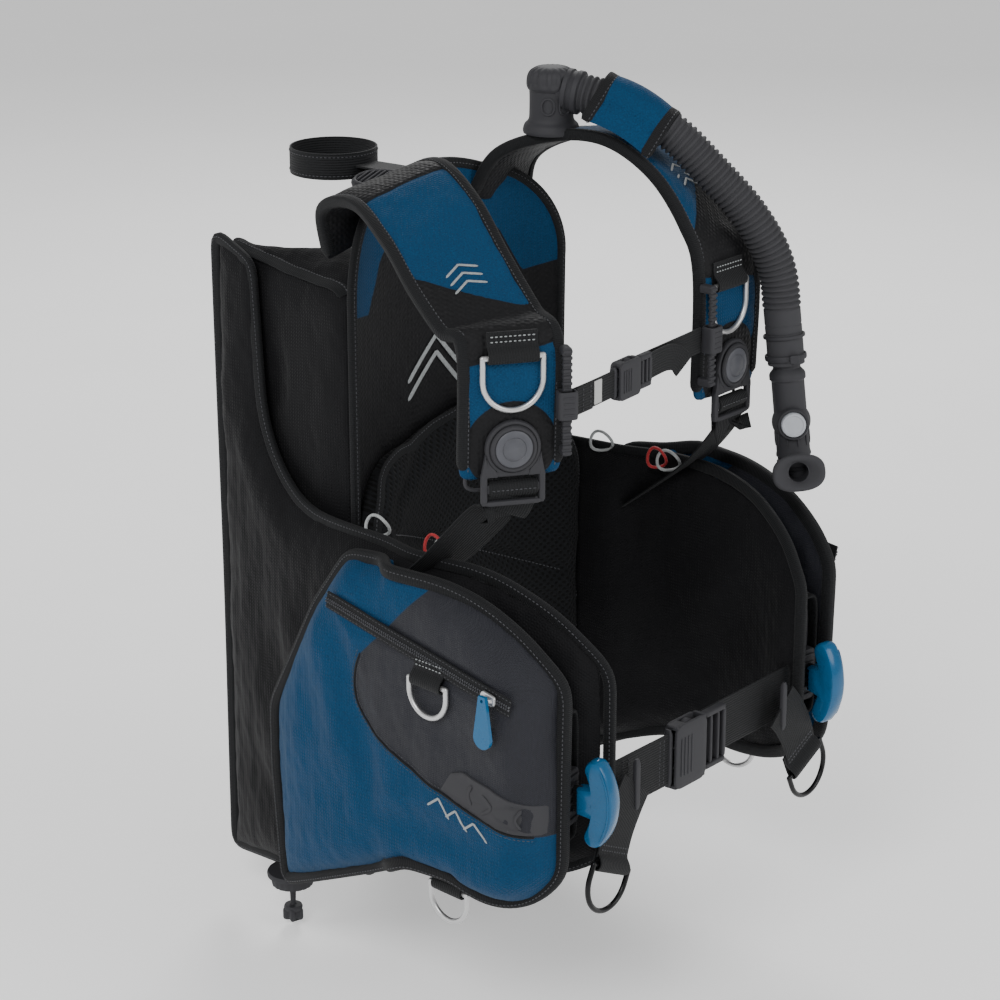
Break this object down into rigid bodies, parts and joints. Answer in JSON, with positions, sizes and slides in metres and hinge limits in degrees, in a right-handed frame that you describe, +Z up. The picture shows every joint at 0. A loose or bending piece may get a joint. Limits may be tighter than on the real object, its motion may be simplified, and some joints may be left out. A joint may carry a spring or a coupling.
{
  "type": "buoyancy compensator vest",
  "caption": "Jacket-style diving buoyancy vest that straps to a cylinder, with side air lobes, pockets, weight pouches, chest and waist buckles and an oral inflator hose.",
  "frame": {"origin": "on the axis of the diving cylinder, at the middle of the tank band's width", "axes": "+Z up along the cylinder, the wearer faces -Y, the wearer's left side is +X"},
  "size_m": [0.514, 0.5933, 0.8324],
  "materials": {
    "black_nylon_fabric": "matt woven nylon",
    "black_mesh_pad": "knitted mesh",
    "blue_nylon_fabric": "coarse woven nylon",
    "black_cordura": "coarse woven nylon",
    "black_webbing": "ribbed webbing",
    "reflective_webbing": "webbing with reflective threads",
    "black_acetal": "satin moulded",
    "grey_plastic": "satin moulded",
    "blue_plastic": "soft gloss moulded",
    "stainless_steel": "polished bar",
    "black_rubber": "matt rubber",
    "zip_metal": "satin moulded",
    "zip_tape": "woven tape"
  },
  "bodies": {
    "vest": {"tank_band": "black_webbing", "backpack_plate": "black_acetal", "cam_buckle": "black_acetal", "valve_loop": "black_webbing", "air_cell": "black_nylon_fabric", "back_panel": "black_nylon_fabric", "back_pad": "black_mesh_pad", "left_lobe": "black_nylon_fabric", "right_lobe": "black_nylon_fabric", "left_cargo_pocket": "blue_nylon_fabric", "right_cargo_pocket": "blue_nylon_fabric", "pouch_sleeves": "black_cordura", "zipper_tapes": "zip_tape", "right_shoulder_strap": "blue_nylon_fabric", "left_shoulder_strap": "blue_nylon_fabric", "ring_keepers": "reflective_webbing", "swivel_buttons": "grey_plastic", "shoulder_webbing": "black_webbing", "sternum_rails": "black_acetal", "waist_webbing": "black_webbing", "waist_buckle_socket": "black_acetal", "hose_upper": "black_rubber", "shoulder_elbow": "black_acetal", "hose_wrap": "black_cordura", "dump_valve": "black_acetal", "shoulder_valve": "black_acetal"},
    "right_swivel": {"right_swivel_buckle": "black_acetal"},
    "left_swivel": {"left_swivel_buckle": "black_acetal"},
    "right_sternum": {"right_sternum_slider": "black_acetal", "right_sternum_webbing": "black_webbing", "sternum_buckle_socket": "black_acetal"},
    "left_sternum": {"left_sternum_slider": "black_acetal", "left_sternum_webbing": "black_webbing"},
    "sternum_plug": {"sternum_buckle_plug": "black_acetal"},
    "waist_plug": {"waist_buckle_plug": "black_acetal"},
    "cam_lever": {"cam_lever": "black_acetal"},
    "right_chest_ring": {"right_chest_ring": "stainless_steel"},
    "left_chest_ring": {"left_chest_ring": "stainless_steel"},
    "left_pocket_ring": {"left_pocket_ring": "stainless_steel"},
    "right_pocket_ring": {"right_pocket_ring": "stainless_steel"},
    "left_hem_ring": {"left_hem_ring": "stainless_steel"},
    "right_hem_ring": {"right_hem_ring": "stainless_steel"},
    "left_waist_ring": {"left_waist_ring": "black_acetal"},
    "right_waist_ring": {"right_waist_ring": "black_acetal"},
    "right_zip": {"right_zip_slider": "zip_metal"},
    "right_pull_tab": {"right_pull_tab": "blue_plastic"},
    "right_pouch": {"right_weight_pouch": "black_cordura", "right_pouch_grip": "blue_plastic"},
    "left_zip": {"left_zip_slider": "zip_metal"},
    "left_pull_tab": {"left_pull_tab": "blue_plastic"},
    "left_pouch": {"left_weight_pouch": "black_cordura", "left_pouch_grip": "blue_plastic"},
    "hose": {"hose_lower": "black_rubber", "inflator_body": "black_acetal", "mouthpiece": "black_rubber"},
    "inflate_button": {"inflate_button": "grey_plastic"},
    "exhaust_button": {"exhaust_button": "black_acetal"},
    "dump_pull": {"dump_knob": "black_acetal", "dump_disc": "black_rubber"}
  },
  "joints": [
    {"name": "right_swivel", "type": "hinge", "parent": "vest", "child": "right_swivel", "pos_m": [-0.16639, -0.35895, 0.254], "axis": [-0.5649, -0.8251, 0], "range_deg": [-25, 25]},
    {"name": "left_swivel", "type": "hinge", "parent": "vest", "child": "left_swivel", "pos_m": [0.158, -0.353, 0.254], "axis": [0, -1, 0], "range_deg": [-25, 25]},
    {"name": "right_sternum_slide", "type": "slide", "parent": "vest", "child": "right_sternum", "axis": [0, 0, 1], "range_m": [-0.024, 0.024]},
    {"name": "left_sternum_slide", "type": "slide", "parent": "vest", "child": "left_sternum", "axis": [0, 0, 1], "range_m": [-0.024, 0.024]},
    {"name": "sternum_release", "type": "slide", "parent": "left_sternum", "child": "sternum_plug", "axis": [0.9943, 0.1069, 0], "range_m": [0, 0.027]},
    {"name": "waist_release", "type": "slide", "parent": "vest", "child": "waist_plug", "axis": [1, 0, 0], "range_m": [0, 0.037]},
    {"name": "cam_lever_turn", "type": "hinge", "parent": "vest", "child": "cam_lever", "pos_m": [-0.05563, 0.09144, 0], "axis": [0, 0, 1], "range_deg": [0, 120]},
    {"name": "right_chest_ring_swing", "type": "hinge", "parent": "vest", "child": "right_chest_ring", "pos_m": [-0.16854, -0.36209, 0.334], "axis": [-0.8251, 0.5649, 0], "range_deg": [0, 90]},
    {"name": "left_chest_ring_swing", "type": "hinge", "parent": "vest", "child": "left_chest_ring", "pos_m": [0.1505, -0.3568, 0.334], "axis": [-1, 0, 0], "range_deg": [0, 90]},
    {"name": "left_pocket_ring_swing", "type": "hinge", "parent": "vest", "child": "left_pocket_ring", "pos_m": [0.24169, -0.32772, 0.052], "axis": [0.0748, -0.9972, 0], "range_deg": [0, 110]},
    {"name": "right_pocket_ring_swing", "type": "hinge", "parent": "vest", "child": "right_pocket_ring", "pos_m": [-0.24169, -0.32772, 0.052], "axis": [0.0748, 0.9972, 0], "range_deg": [0, 110]},
    {"name": "left_hem_ring_swing", "type": "hinge", "parent": "vest", "child": "left_hem_ring", "pos_m": [0.218, -0.33, -0.152], "axis": [0.0748, -0.9972, 0], "range_deg": [-60, 75]},
    {"name": "right_hem_ring_swing", "type": "hinge", "parent": "vest", "child": "right_hem_ring", "pos_m": [-0.218, -0.33, -0.152], "axis": [0.0748, 0.9972, 0], "range_deg": [-60, 75]},
    {"name": "left_waist_ring_swing", "type": "hinge", "parent": "vest", "child": "left_waist_ring", "pos_m": [0.15, -0.4592, -0.116], "axis": [-0.8984, 0, -0.4392], "range_deg": [0, 110]},
    {"name": "right_waist_ring_swing", "type": "hinge", "parent": "vest", "child": "right_waist_ring", "pos_m": [-0.15, -0.4592, -0.116], "axis": [-0.8984, 0, 0.4392], "range_deg": [0, 110]},
    {"name": "right_zip_slide", "type": "slide", "parent": "vest", "child": "right_zip", "axis": [0.0737, 0.9832, 0.1671], "range_m": [0, 0.19]},
    {"name": "right_pull_tab_swing", "type": "hinge", "parent": "right_zip", "child": "right_pull_tab", "pos_m": [-0.25347, -0.40123, 0.06], "axis": [-0.9972, 0.0748, 0], "range_deg": [-60, 60]},
    {"name": "right_pouch_slide", "type": "slide", "parent": "vest", "child": "right_pouch", "axis": [0.1809, -0.9835, 0], "range_m": [0, 0.15]},
    {"name": "left_zip_slide", "type": "slide", "parent": "vest", "child": "left_zip", "axis": [-0.0737, 0.9832, 0.1671], "range_m": [0, 0.19]},
    {"name": "left_pull_tab_swing", "type": "hinge", "parent": "left_zip", "child": "left_pull_tab", "pos_m": [0.25347, -0.40123, 0.06], "axis": [0.9972, 0.0748, 0], "range_deg": [-60, 60]},
    {"name": "left_pouch_slide", "type": "slide", "parent": "vest", "child": "left_pouch", "axis": [-0.1809, -0.9835, 0], "range_m": [0, 0.15]},
    {"name": "hose_swing", "type": "hinge", "parent": "vest", "child": "hose", "pos_m": [0.15874, -0.35437, 0.42937], "axis": [-0.871, 0, -0.4913], "range_deg": [0, 40]},
    {"name": "inflate_press", "type": "slide", "parent": "hose", "child": "inflate_button", "axis": [0.7537, 0.6512, -0.0888], "range_m": [0, 0.004], "stiffness_N_per_m": 400},
    {"name": "exhaust_press", "type": "slide", "parent": "hose", "child": "exhaust_button", "axis": [0, 0.1351, 0.9908], "range_m": [0, 0.005], "stiffness_N_per_m": 400},
    {"name": "dump_pull", "type": "slide", "parent": "vest", "child": "dump_pull", "axis": [0, 0, -1], "range_m": [0, 0.008], "stiffness_N_per_m": 300}
  ],
  "couplings": [
    {"joint": "left_sternum_slide", "follows": "right_sternum_slide", "ratio": 1}
  ]
}
